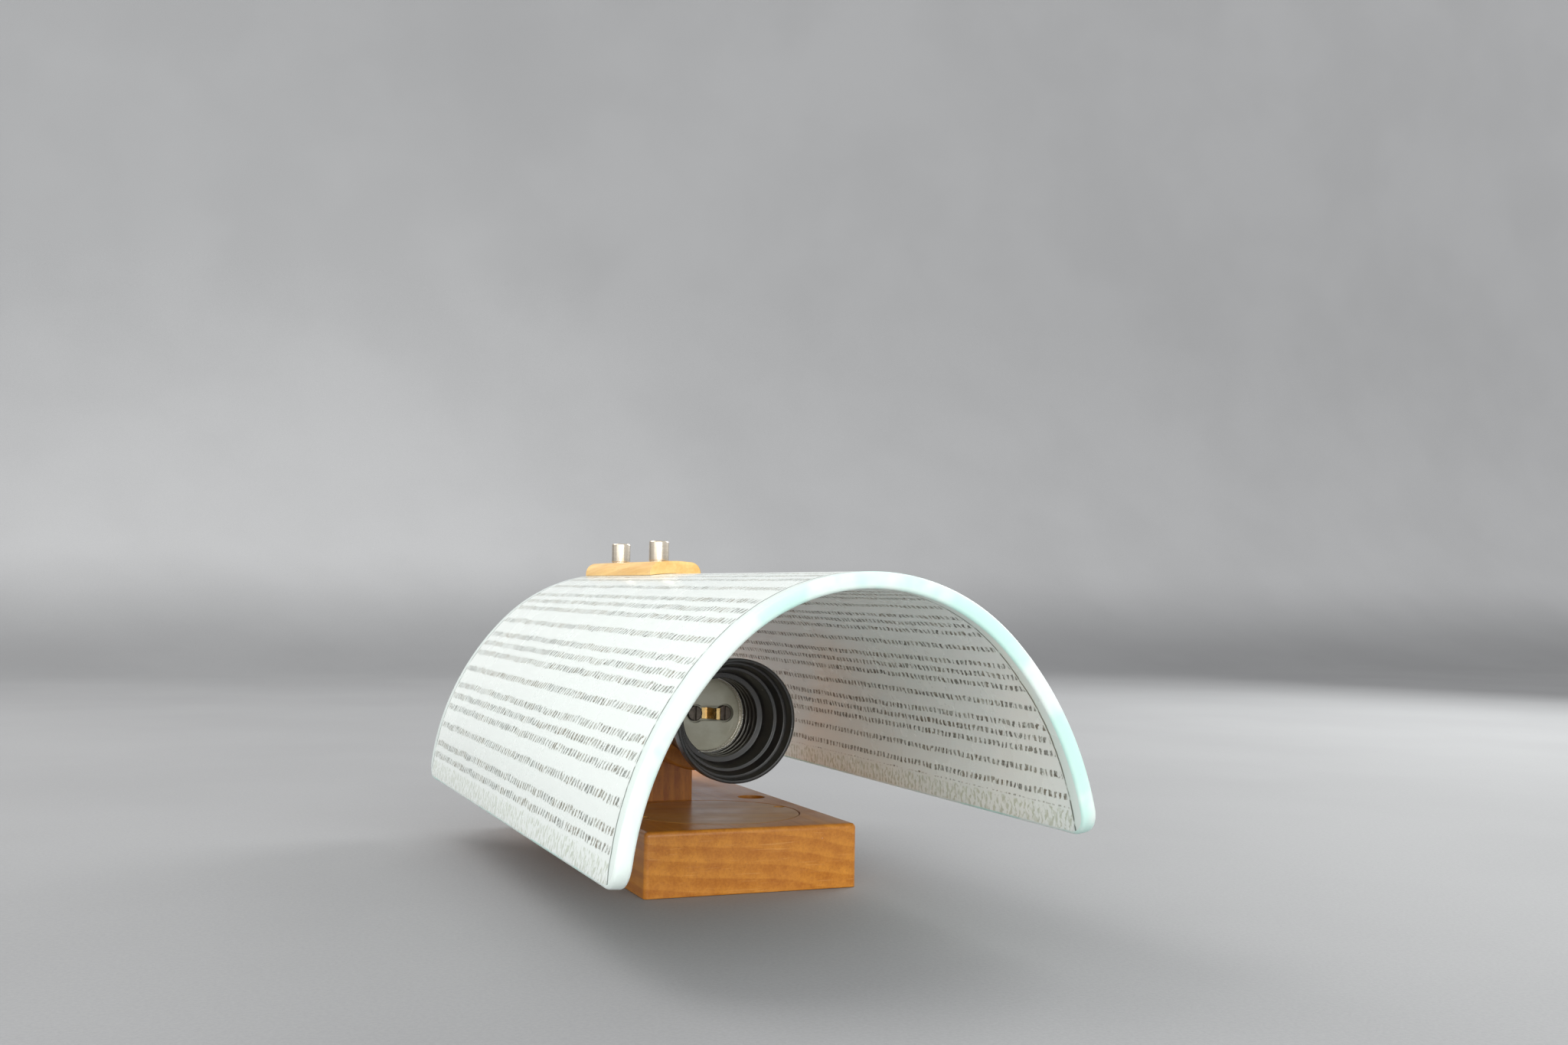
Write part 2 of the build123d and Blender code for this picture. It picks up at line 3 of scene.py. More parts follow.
import bmesh
import bpy
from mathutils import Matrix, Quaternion, Vector


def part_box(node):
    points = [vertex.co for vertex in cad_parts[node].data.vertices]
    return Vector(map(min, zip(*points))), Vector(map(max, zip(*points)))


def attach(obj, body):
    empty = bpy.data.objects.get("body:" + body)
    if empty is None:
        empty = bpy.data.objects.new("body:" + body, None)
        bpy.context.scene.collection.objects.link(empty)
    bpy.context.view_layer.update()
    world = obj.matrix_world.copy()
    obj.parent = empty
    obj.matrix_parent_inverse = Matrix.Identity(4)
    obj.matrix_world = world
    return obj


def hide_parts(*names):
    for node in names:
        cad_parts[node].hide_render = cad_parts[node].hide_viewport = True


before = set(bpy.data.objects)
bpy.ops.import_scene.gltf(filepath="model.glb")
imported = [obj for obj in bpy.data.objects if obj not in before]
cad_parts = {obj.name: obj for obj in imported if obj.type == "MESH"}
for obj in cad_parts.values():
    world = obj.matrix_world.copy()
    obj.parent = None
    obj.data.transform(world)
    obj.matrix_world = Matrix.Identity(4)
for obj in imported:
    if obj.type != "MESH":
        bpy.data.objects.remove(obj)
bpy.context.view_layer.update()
mm = 0.001


# Small helpers for shader nodes. An input may be a number, a colour or another node's output.
def addNode(tree, kind, inputs=None, **settings):
    made = tree.nodes.new("ShaderNode" + kind)
    for key, value in settings.items():
        setattr(made, key, value)
    for key, value in (inputs or {}).items():
        socket = made.inputs[key]
        if isinstance(value, bpy.types.NodeSocket):
            tree.links.new(value, socket)
        else:
            socket.default_value = value
    return made


def calc(tree, operation, *values):
    return addNode(tree, "Math", dict(enumerate(values)), operation=operation).outputs[0]


def remap(tree, value, low, high, newLow=0.0, newHigh=1.0, smooth=True):
    inputs = {"Value": value, "From Min": low, "From Max": high, "To Min": newLow, "To Max": newHigh}
    kind = "SMOOTHSTEP" if smooth else "LINEAR"
    return addNode(tree, "MapRange", inputs, interpolation_type=kind).outputs[0]


def mixColour(tree, factor, first, second, mode="MIX"):
    inputs = {0: factor, 6: first, 7: second}
    return addNode(tree, "Mix", inputs, data_type="RGBA", blend_type=mode).outputs[2]


def noise(tree, spot, scale, detail=2.0, rough=0.5):
    inputs = {"Vector": spot, "Scale": scale, "Detail": detail, "Roughness": rough}
    return addNode(tree, "TexNoise", inputs).outputs[0]


def stretch(tree, spot, scale, turn=(0, 0, 0)):
    return addNode(tree, "Mapping", {"Vector": spot, "Scale": scale, "Rotation": turn}).outputs[0]


def newGroup(name, inputs, outputs):
    tree = bpy.data.node_groups.new(name, "ShaderNodeTree")
    for label, value in inputs.items():
        kind = {float: "NodeSocketFloat", tuple: "NodeSocketColor", str: "NodeSocketVector"}[type(value)]
        socket = tree.interface.new_socket(label, in_out="INPUT", socket_type=kind)
        if kind != "NodeSocketVector":
            socket.default_value = value
    for label, kind in outputs.items():
        tree.interface.new_socket(label, in_out="OUTPUT", socket_type="NodeSocket" + kind)
    return tree, tree.nodes.new("NodeGroupInput").outputs, tree.nodes.new("NodeGroupOutput").inputs


def placeGroup(tree, group, inputs):
    made = tree.nodes.new("ShaderNodeGroup")
    made.node_tree = group
    for key, value in inputs.items():
        if isinstance(value, bpy.types.NodeSocket):
            tree.links.new(value, made.inputs[key])
        else:
            made.inputs[key].default_value = value
    return made.outputs


# Wood: the grain runs along the X of Place. Scales are repeats per metre along and across it.
grainScales = {
    "bend": (6, 14, 14), "bendAmount": 2.2, "slant": 0.14, "ringRise": 0.72, "ringFall": 0.86,
    "fibres": (26, 1050, 1050), "bands": (9, 190, 190), "bandAmount": 0.35,
    "pores": (150, 2300, 2300), "poreCut": (0.66, 0.74), "poreTone": (0.45, 0.38, 0.34),
}


def makeWoodGrain():
    tree, given, out = newGroup(
        "woodGrain",
        {"Place": "", "Light": (0.6, 0.3, 0.1, 1), "Dark": (0.3, 0.12, 0.03, 1), "Ring Spacing": 0.006,
         "Ring Strength": 0.5, "Fibre Strength": 0.5, "Pore Strength": 0.5},
        {"Colour": "Color", "Height": "Float", "Rings": "Float"},
    )
    spot = given["Place"]
    slow = noise(tree, stretch(tree, spot, grainScales["bend"]), 1.0, 2.0)
    parts = addNode(tree, "SeparateXYZ", {"Vector": spot}).outputs
    slanted = calc(tree, "MULTIPLY_ADD", parts[1], grainScales["slant"], parts[2])
    across = calc(tree, "DIVIDE", slanted, given["Ring Spacing"])
    wave = calc(tree, "FRACT", calc(tree, "MULTIPLY_ADD", slow, grainScales["bendAmount"], across))
    rise = remap(tree, wave, 0.0, grainScales["ringRise"])
    rings = calc(tree, "MULTIPLY", rise, remap(tree, wave, 1.0, grainScales["ringFall"]))
    fibres = noise(tree, stretch(tree, spot, grainScales["fibres"]), 1.0, 4.0, 0.62)
    bands = noise(tree, stretch(tree, spot, grainScales["bands"]), 1.0, 3.0)
    specks = noise(tree, stretch(tree, spot, grainScales["pores"]), 1.0, 1.0)
    dashes = remap(tree, specks, *grainScales["poreCut"])
    fine = calc(tree, "MULTIPLY", remap(tree, fibres, 0.3, 0.7), given["Fibre Strength"])
    broad = calc(tree, "MULTIPLY", remap(tree, bands, 0.32, 0.7), grainScales["bandAmount"])
    amount = calc(tree, "MULTIPLY_ADD", rings, given["Ring Strength"], calc(tree, "ADD", fine, broad))
    toned = mixColour(tree, calc(tree, "MINIMUM", amount, 1.0), given["Light"], given["Dark"])
    pores = calc(tree, "MULTIPLY", dashes, given["Pore Strength"])
    dusky = mixColour(tree, 1.0, given["Dark"], (*grainScales["poreTone"], 1), "MULTIPLY")
    tree.links.new(mixColour(tree, pores, toned, dusky), out["Colour"])
    tree.links.new(calc(tree, "SUBTRACT", calc(tree, "MULTIPLY", fibres, 0.6), pores), out["Height"])
    tree.links.new(rings, out["Rings"])
    return tree


# Edges: a normal that rounds them off, and a mask of where hands rub them
edgeMask = {"samples": 4, "facing": (0.995, 0.86), "patchScale": 180.0, "patchCut": (0.35, 0.62)}


def makeSoftEdges():
    tree, given, out = newGroup(
        "softEdges", {"Radius": 0.0005, "Place": ""}, {"Normal": "Vector", "Mask": "Float"})
    bevel = addNode(tree, "Bevel", {"Radius": given["Radius"]}, samples=edgeMask["samples"]).outputs[0]
    flat = addNode(tree, "NewGeometry").outputs["Normal"]
    facing = addNode(tree, "VectorMath", {0: bevel, 1: flat}, operation="DOT_PRODUCT").outputs["Value"]
    edge = remap(tree, facing, *edgeMask["facing"])
    patchy = remap(tree, noise(tree, given["Place"], edgeMask["patchScale"], 3.0), *edgeMask["patchCut"])
    tree.links.new(bevel, out["Normal"])
    tree.links.new(calc(tree, "MULTIPLY", edge, patchy), out["Mask"])
    return tree


# Handling: soft smudges, fine scratches in two directions and specks of dust
handlingScales = {
    "smudge": 42.0, "smudgeCut": (0.34, 0.68), "scratchCut": (0.69, 0.76),
    "scratches": (((0.5, 0.7, 0.3), (60, 1900, 1900)), ((1.9, 0.2, 1.2), (75, 2400, 2400))),
    "speckCells": 420.0, "speckChance": 0.9, "speckRadius": 0.16, "speckCore": 0.02,
}


def makeHandling():
    tree, given, out = newGroup(
        "handling", {"Place": "", "Speck Size": 1.0},
        {"Smudge": "Float", "Scratch": "Float", "Speck": "Float"})
    spot = given["Place"]
    smudge = remap(tree, noise(tree, spot, handlingScales["smudge"], 4.0, 0.6), *handlingScales["smudgeCut"])
    lines = []
    for turn, scale in handlingScales["scratches"]:
        fine = noise(tree, stretch(tree, spot, scale, turn), 1.0, 1.0)
        lines.append(remap(tree, fine, *handlingScales["scratchCut"]))
    cell = addNode(tree, "TexVoronoi", {"Vector": spot, "Scale": handlingScales["speckCells"]})
    chance = addNode(tree, "SeparateColor", {"Color": cell.outputs["Color"]}).outputs[0]
    rare = calc(tree, "GREATER_THAN", chance, handlingScales["speckChance"])
    reach = calc(tree, "MULTIPLY", given["Speck Size"], handlingScales["speckRadius"])
    near = remap(tree, cell.outputs["Distance"], reach, handlingScales["speckCore"])
    tree.links.new(smudge, out["Smudge"])
    tree.links.new(calc(tree, "MAXIMUM", lines[0], lines[1]), out["Scratch"])
    tree.links.new(calc(tree, "MULTIPLY", near, rare), out["Speck"])
    return tree


woodGrain = makeWoodGrain()
softEdges = makeSoftEdges()
handling = makeHandling()


def newMaterial(name):
    material = bpy.data.materials.new(name)
    material.use_nodes = True
    tree = material.node_tree
    shader = tree.nodes["Principled BSDF"]
    spot = addNode(tree, "TexCoord").outputs["Object"]
    return material, tree, shader, spot


def setShader(shader, values):
    for key, value in values.items():
        shader.inputs[key].default_value = value


def bump(tree, shader, height, strength, distance, normal=None):
    inputs = {"Height": height, "Strength": strength, "Distance": distance}
    if normal is not None:
        inputs["Normal"] = normal
    tree.links.new(addNode(tree, "Bump", inputs).outputs[0], shader.inputs["Normal"])


def woodMaterial(name, wood):
    material, tree, shader, spot = newMaterial(name)
    grain = placeGroup(tree, woodGrain, {
        "Place": stretch(tree, spot, (1, 1, 1), wood["turn"]), "Light": (*wood["light"], 1),
        "Dark": (*wood["dark"], 1), "Ring Spacing": wood["ringSpacing"], "Ring Strength": wood["rings"],
        "Fibre Strength": wood["fibres"], "Pore Strength": wood["pores"]})
    edges = placeGroup(tree, softEdges, {"Radius": wood["edge"], "Place": spot})
    marks = placeGroup(tree, handling, {"Place": spot, "Speck Size": 1.0})
    rubbed = mixColour(tree, calc(tree, "MULTIPLY", edges["Mask"], wood["edgeWear"]), grain["Colour"],
                       (*wood["edgeColour"], 1))
    dull = mixColour(tree, calc(tree, "MULTIPLY", marks["Smudge"], wood["smudge"]), rubbed,
                     (*wood["dark"], 1))
    scored = mixColour(tree, calc(tree, "MULTIPLY", marks["Scratch"], wood["scratches"]), dull,
                       (*wood["edgeColour"], 1))
    dusty = mixColour(tree, calc(tree, "MULTIPLY", marks["Speck"], wood["dust"]), scored,
                      (*wood["dustColour"], 1))
    tree.links.new(dusty, shader.inputs["Base Color"])
    rough = calc(tree, "MULTIPLY_ADD", marks["Smudge"], wood["smudgeRough"], wood["rough"])
    tree.links.new(calc(tree, "MULTIPLY_ADD", grain["Rings"], wood["ringGloss"], rough),
                   shader.inputs["Roughness"])
    height = calc(tree, "MULTIPLY_ADD", marks["Scratch"], wood["scratchDepth"], grain["Height"])
    bump(tree, shader, height, wood["relief"], wood["depth"], edges["Normal"])
    setShader(shader, {"Coat Weight": wood["coat"], "Coat Roughness": wood["coatRough"],
                       "Specular IOR Level": wood["specular"]})
    return material


def metalMaterial(name, metal):
    material, tree, shader, spot = newMaterial(name)
    edges = placeGroup(tree, softEdges, {"Radius": metal["edge"], "Place": spot})
    marks = placeGroup(tree, handling, {"Place": spot, "Speck Size": 0.8})
    lay = noise(tree, stretch(tree, spot, metal["lay"]), 1.0, 3.0, 0.6)
    tint = mixColour(tree, remap(tree, lay, 0.3, 0.7), (*metal["colour"], 1), (*metal["tint"], 1))
    aged = mixColour(tree, calc(tree, "MULTIPLY", marks["Smudge"], metal["age"]), tint, (*metal["aged"], 1))
    bright = mixColour(tree, calc(tree, "MULTIPLY", edges["Mask"], metal["edgeWear"]), aged,
                       (*metal["edgeColour"], 1))
    tree.links.new(bright, shader.inputs["Base Color"])
    rough = calc(tree, "MULTIPLY_ADD", marks["Smudge"], metal["smudgeRough"], metal["rough"])
    tree.links.new(calc(tree, "MULTIPLY_ADD", marks["Scratch"], metal["scratchRough"], rough),
                   shader.inputs["Roughness"])
    height = calc(tree, "MULTIPLY_ADD", marks["Scratch"], metal["scratchDepth"], lay)
    bump(tree, shader, height, metal["relief"], metal["depth"], edges["Normal"])
    setShader(shader, {"Metallic": 1.0})
    return material


def mouldedMaterial(name, mould):
    material, tree, shader, spot = newMaterial(name)
    edges = placeGroup(tree, softEdges, {"Radius": mould["edge"], "Place": spot})
    marks = placeGroup(tree, handling, {"Place": spot, "Speck Size": mould["speck"]})
    flow = noise(tree, stretch(tree, spot, mould["flow"], mould["flowTurn"]), 1.0, 5.0, 0.62)
    mottled = mixColour(tree, remap(tree, flow, 0.36, 0.66), (*mould["colour"], 1), (*mould["mottle"], 1))
    worn = mixColour(tree, calc(tree, "MULTIPLY", edges["Mask"], mould["edgeWear"]), mottled,
                     (*mould["edgeColour"], 1))
    dusty = mixColour(tree, calc(tree, "MULTIPLY", marks["Speck"], mould["dust"]), worn,
                      (*mould["dustColour"], 1))
    tree.links.new(dusty, shader.inputs["Base Color"])
    rough = calc(tree, "MULTIPLY_ADD", marks["Smudge"], mould["smudgeRough"], mould["rough"])
    tree.links.new(calc(tree, "MULTIPLY_ADD", marks["Scratch"], mould["scratchRough"], rough),
                   shader.inputs["Roughness"])
    orangePeel = noise(tree, spot, mould["peel"], 2.0)
    height = calc(tree, "MULTIPLY_ADD", marks["Scratch"], mould["scratchDepth"], orangePeel)
    bump(tree, shader, height, mould["relief"], mould["depth"], edges["Normal"])
    setShader(shader, {"Coat Weight": mould["coat"], "Coat Roughness": mould["coatRough"]})
    return material


quarterTurn = math.pi / 2
oiledWood = {
    "turn": (0, 0, quarterTurn), "light": (0.7, 0.28, 0.03), "dark": (0.43, 0.13, 0.007),
    "ringSpacing": 0.0052, "rings": 0.34, "fibres": 0.32, "pores": 0.4, "edge": 0.0007, "edgeWear": 0.4,
    "edgeColour": (0.84, 0.42, 0.12), "scratches": 0.22, "rough": 0.34, "relief": 0.4, "coat": 0.3,
    "smudge": 0.16, "smudgeRough": 0.14, "ringGloss": -0.05, "dust": 0.35, "dustColour": (0.75, 0.66, 0.55),
    "depth": 0.00012, "scratchDepth": -0.5, "coatRough": 0.22, "specular": 0.45,
}
baseWood = woodMaterial("baseWood", oiledWood)
coverWood = woodMaterial("coverWood", oiledWood | {
    "turn": (0.15, 0, 0.28), "light": (0.68, 0.34, 0.085), "dark": (0.45, 0.18, 0.03), "ringSpacing": 0.0075,
    "rings": 0.3})
postWood = woodMaterial("postWood", oiledWood | {
    "turn": (0, quarterTurn, 0.2), "light": (0.62, 0.24, 0.035), "dark": (0.35, 0.1, 0.01),
    "ringSpacing": 0.0042, "rings": 0.42, "rough": 0.42, "coat": 0.12})
collarWood = woodMaterial("collarWood", oiledWood | {
    "turn": (0.6, 0, quarterTurn), "light": (0.62, 0.24, 0.035), "dark": (0.36, 0.11, 0.01),
    "ringSpacing": 0.005, "rough": 0.4, "coat": 0.14})
paleWood = woodMaterial("paleWood", oiledWood | {
    "turn": (0.1, 0, quarterTurn), "light": (0.95, 0.66, 0.27), "dark": (0.72, 0.38, 0.1),
    "ringSpacing": 0.007, "rings": 0.3, "fibres": 0.3, "pores": 0.3, "edgeColour": (0.98, 0.76, 0.42),
    "edgeWear": 0.35, "rough": 0.4, "relief": 0.3, "coat": 0.12, "scratches": 0.08})
dowelWood = woodMaterial("dowelWood", oiledWood | {
    "turn": (0, 0, quarterTurn), "light": (0.8, 0.56, 0.3), "dark": (0.6, 0.36, 0.15), "coat": 0.0,
    "rough": 0.6})

# Nickel: the tan colour and tint are a painted reflection of warm surroundings; the other metals below
# replace them with their own
nickel = {
    "colour": (0.76, 0.69, 0.58), "tint": (0.7, 0.62, 0.51), "aged": (0.56, 0.45, 0.33), "age": 0.3,
    "edgeColour": (0.92, 0.89, 0.82), "edge": 0.0003, "lay": (120, 120, 2600), "rough": 0.2, "relief": 0.08,
    "edgeWear": 0.5, "smudgeRough": 0.12, "scratchRough": 0.15, "scratchDepth": -0.4, "depth": 0.00006,
}
satinNickelPaintedReflection = metalMaterial("satinNickelPaintedReflection", nickel)
brightMetal = metalMaterial("brightMetal", nickel | {
    "colour": (0.86, 0.83, 0.76), "tint": (0.74, 0.7, 0.63), "lay": (300, 2500, 300), "rough": 0.16})
zincSteel = metalMaterial("zincSteel", nickel | {
    "colour": (0.6, 0.6, 0.6), "tint": (0.5, 0.51, 0.53), "aged": (0.42, 0.38, 0.3), "lay": (500, 500, 900),
    "rough": 0.3})
darkMetal = metalMaterial("darkMetal", nickel | {
    "colour": (0.12, 0.1, 0.085), "tint": (0.07, 0.06, 0.05), "aged": (0.16, 0.09, 0.05),
    "lay": (700, 700, 700), "edgeColour": (0.3, 0.26, 0.22), "rough": 0.42})
bareBrass = metalMaterial("bareBrass", nickel | {
    "colour": (0.8, 0.56, 0.25), "tint": (0.7, 0.46, 0.19), "aged": (0.4, 0.24, 0.1), "lay": (400, 400, 1500),
    "edgeColour": (0.92, 0.74, 0.42), "rough": 0.26, "age": 0.5})

bakelite = {
    "colour": (0.011, 0.01, 0.01), "mottle": (0.024, 0.018, 0.015), "edge": 0.00035, "edgeWear": 0.35,
    "edgeColour": (0.1, 0.085, 0.075), "speck": 1.1, "dust": 0.35, "dustColour": (0.5, 0.46, 0.42),
    "rough": 0.26, "smudgeRough": 0.16, "scratchRough": 0.1, "peel": 700.0, "relief": 0.12, "depth": 0.00008,
    "scratchDepth": -0.6, "flow": (90, 60, 140), "flowTurn": (0.4, 0.9, 0.2), "coat": 0.3, "coatRough": 0.15,
}
blackBakelite = mouldedMaterial("blackBakelite", bakelite)
greyPorcelain = mouldedMaterial("greyPorcelain", bakelite | {
    "colour": (0.52, 0.5, 0.4), "mottle": (0.44, 0.41, 0.31), "edgeColour": (0.6, 0.58, 0.5), "rough": 0.3,
    "peel": 320.0, "coat": 0.45})
blackRubber = mouldedMaterial("blackRubber", bakelite | {
    "colour": (0.02, 0.02, 0.02), "mottle": (0.035, 0.034, 0.033), "rough": 0.7, "coat": 0.0, "peel": 1600.0,
    "relief": 0.5})
whitePlastic = mouldedMaterial("whitePlastic", bakelite | {
    "colour": (0.76, 0.75, 0.7), "mottle": (0.7, 0.68, 0.61), "edgeColour": (0.85, 0.84, 0.8), "rough": 0.4,
    "coat": 0.1})
brownCover = mouldedMaterial("brownCover", bakelite | {
    "colour": (0.14, 0.05, 0.02), "mottle": (0.1, 0.035, 0.014), "rough": 0.45, "coat": 0.0})
blueCover = mouldedMaterial("blueCover", bakelite | {
    "colour": (0.03, 0.1, 0.36), "mottle": (0.022, 0.075, 0.28), "rough": 0.45, "coat": 0.0})

nodeFinishes = {
    "base_block": baseWood, "cover_disc": coverWood, "post": postWood, "collar": collarWood,
    "clamp_bar": paleWood, "collar_dowels": dowelWood, "cover_screws": darkMetal, "post_screws": zincSteel,
    "lampholder_screws": darkMetal, "cable_grommet": blackRubber, "lower_pad": blackRubber,
    "upper_pad": blackRubber, "terminal_block": whitePlastic, "glass_sleeves": whitePlastic,
    "terminal_screws": bareBrass, "contact_foot": bareBrass, "contact_leaf": bareBrass,
    "contact_posts": bareBrass, "stud_inserts": bareBrass, "wire_live": brownCover, "wire_neutral": blueCover,
    "porcelain_insert": greyPorcelain, "thread_ring": brightMetal, "studs": zincSteel,
    "near_washer": satinNickelPaintedReflection, "far_washer": satinNickelPaintedReflection,
}
for nodeName, finish in nodeFinishes.items():
    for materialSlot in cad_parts[nodeName].material_slots:
        materialSlot.material = finish
print("finishes on the CAD pieces:", len(nodeFinishes))


def meshObject(name, vertices, faces, smoothAngle=35.0):
    mesh = bpy.data.meshes.new(name)
    mesh.from_pydata(vertices, [], faces)
    mesh.validate()
    piece = bpy.data.objects.new(name, mesh)
    bpy.context.scene.collection.objects.link(piece)
    solid = bmesh.new()
    solid.from_mesh(mesh)
    bmesh.ops.recalc_face_normals(solid, faces=solid.faces)
    solid.to_mesh(mesh)
    solid.free()
    mesh.shade_smooth()
    mesh.set_sharp_from_angle(angle=math.radians(smoothAngle))
    return piece


# A turned shape: rows of (distance along the axis, radius) round a loop, with a rounding at each corner
def roundedLoop(corners, steps=4):
    loop = []
    count = len(corners)
    for index, (along, radius, easing) in enumerate(corners):
        here = Vector((along, radius))
        if easing == 0:
            loop.append(here)
            continue
        before = Vector(corners[index - 1][:2]) - here
        after = Vector(corners[(index + 1) % count][:2]) - here
        reach = min(easing, before.length * 0.45, after.length * 0.45)
        start, end = here + before.normalized() * reach, here + after.normalized() * reach
        for step in range(steps + 1):
            t = step / steps
            loop.append(start * (1 - t) ** 2 + here * 2 * t * (1 - t) + end * t ** 2)
    return loop


def turnedPiece(name, loop, segments, toPoint, closed=True):
    vertices, faces = [], []
    for along, radius in loop:
        for segment in range(segments):
            angle = 2 * math.pi * segment / segments
            vertices.append(toPoint(along, radius, angle))
    rows = len(loop)
    for row in range(rows if closed else rows - 1):
        nextRow = (row + 1) % rows
        for segment in range(segments):
            nextSegment = (segment + 1) % segments
            faces.append((row * segments + segment, row * segments + nextSegment,
                          nextRow * segments + nextSegment, nextRow * segments + segment))
    return meshObject(name, vertices, faces)


# Nuts: plain bright cylinders with an eased top, bored from below
nutShape = {
    "foot": 0.25, "shoulder": 0.9, "bore": 2.05, "boreEasing": 0.2, "boreDepth": 6.0, "tip": 0.001,
    "segments": 96,
}


def buildNut(side):
    low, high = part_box(side + "_nut")
    middle = (low + high) / 2
    radius, height = (high.x - low.x) / 2 / mm, (high.z - low.z) / mm
    deep, bore, eased, tip = (nutShape[key] for key in ("boreDepth", "bore", "boreEasing", "tip"))
    loop = roundedLoop([
        (deep, tip, 0), (deep, bore, eased), (0, bore, eased), (0, radius, nutShape["foot"]),
        (height * 0.5, radius, 0), (height, radius, nutShape["shoulder"]), (height, radius * 0.6, 0),
        (height, tip, 0)], steps=6)

    def toPoint(along, distance, angle):
        return (middle.x + distance * mm * math.cos(angle), middle.y + distance * mm * math.sin(angle),
                low.z + along * mm)

    nut = turnedPiece(side + "Nut", loop, nutShape["segments"], toPoint, closed=False)
    # the nuts' tan colour is a painted reflection
    nut.data.materials.append(satinNickelPaintedReflection)
    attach(nut, side + "_nut_turning")
    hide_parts(side + "_nut")


for side in ("near", "far"):
    buildNut(side)
print("nuts built")

# Lampholder: a black moulded bell with a stepped mouth and a cut thread in its barrel
holder = {
    "corners": [
        (0, 20.55, 0.35), (0, 21.75, 0.5), (5, 21.75, 0.5), (17, 18.6, 1.2), (34, 15.8, 0.8), (38, 15.8, 0.3),
        (38, 14.0, 0),
    ],
    "barrelEnd": [(37, 14.0, 0), (30.4, 14.0, 0)],
    "mouthSteps": [
        (17.4, 14.0, 0), (16.8, 14.0, 0.35), (16.8, 16.0, 0.25), (9, 17.2, 0.3), (9, 18.4, 0.3),
        (5, 19.35, 0.3), (5, 20.35, 0.25),
    ],
    "barrel": 14.0, "threadStart": 17.6, "threadEnd": 30.0, "pitch": 3.62, "threadDepth": 0.6, "crest": 1.5,
    "rowGap": 0.34, "segments": 120,
}


def buildHolder():
    low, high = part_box("lampholder_shell")
    axisX, axisZ = (low.x + high.x) / 2, (low.z + high.z) / 2
    barrel, start, end = holder["barrel"], holder["threadStart"], holder["threadEnd"]
    loop = roundedLoop(holder["corners"] + holder["barrelEnd"])
    rows = int((end - start) / holder["rowGap"])
    loop += [Vector((end - row * holder["rowGap"], barrel)) for row in range(rows)]
    loop += roundedLoop(holder["mouthSteps"])

    def toPoint(along, distance, angle):
        if distance < barrel + 0.01 and start <= along <= end:
            turn = math.cos(2 * math.pi * along / holder["pitch"] - angle)
            distance += holder["threadDepth"] * max(0.0, turn) ** holder["crest"]
        return (axisX + distance * mm * math.cos(angle), low.y + along * mm,
                axisZ + distance * mm * math.sin(angle))

    shell = turnedPiece("lampholderShell", loop, holder["segments"], toPoint)
    shell.data.materials.append(blackBakelite)
    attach(shell, "lamp")
    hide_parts("lampholder_shell")


buildHolder()
print("lampholder built")

# Shade: one bent sheet of glass, three arcs wide, its rim ground round
shade = {
    "crownRadius": 65.0, "crownTurn": 44.5, "legRadius": 104.0, "leftTurn": 86.8, "rightTurn": 81.8,
    "thickness": 5.0, "corner": 8.0, "cornerSteps": 7, "rim": 1.1, "rimSteps": 5, "hole": 4.5,
    "holeSides": 48, "columns": 110, "rows": 60,
    "leftFirstRow": 23.3, "leftPeriod": 25.7, "rightFirstRow": 19.7, "rightPeriod": 23.7,
}


def shadeArcs():
    low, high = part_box("shade_glass")
    postLow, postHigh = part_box("post")
    ridge = high.z / mm
    crown = Vector(((postLow.x + postHigh.x) / 2 / mm, ridge - shade["crownRadius"]))
    lean = math.radians(shade["crownTurn"])
    shift = (shade["legRadius"] - shade["crownRadius"]) * Vector((math.sin(lean), -math.cos(lean)))
    leftMiddle, rightMiddle = crown + shift, crown + Vector((-shift.x, shift.y))
    leftLength = shade["legRadius"] * math.radians(shade["leftTurn"] - shade["crownTurn"])
    crownLength = shade["crownRadius"] * 2 * lean
    rightLength = shade["legRadius"] * math.radians(shade["rightTurn"] - shade["crownTurn"])
    total = leftLength + crownLength + rightLength

    def onArc(along, depth):
        if along < leftLength:
            middle, radius = leftMiddle, shade["legRadius"]
            angle = -math.radians(shade["leftTurn"]) + along / radius
        elif along < leftLength + crownLength:
            middle, radius = crown, shade["crownRadius"]
            angle = -lean + (along - leftLength) / radius
        else:
            middle, radius = rightMiddle, shade["legRadius"]
            angle = lean + (along - leftLength - crownLength) / radius
        return middle + (radius - depth) * Vector((math.sin(angle), math.cos(angle)))

    return onArc, total, leftLength + crownLength / 2, low.y / mm, high.y / mm


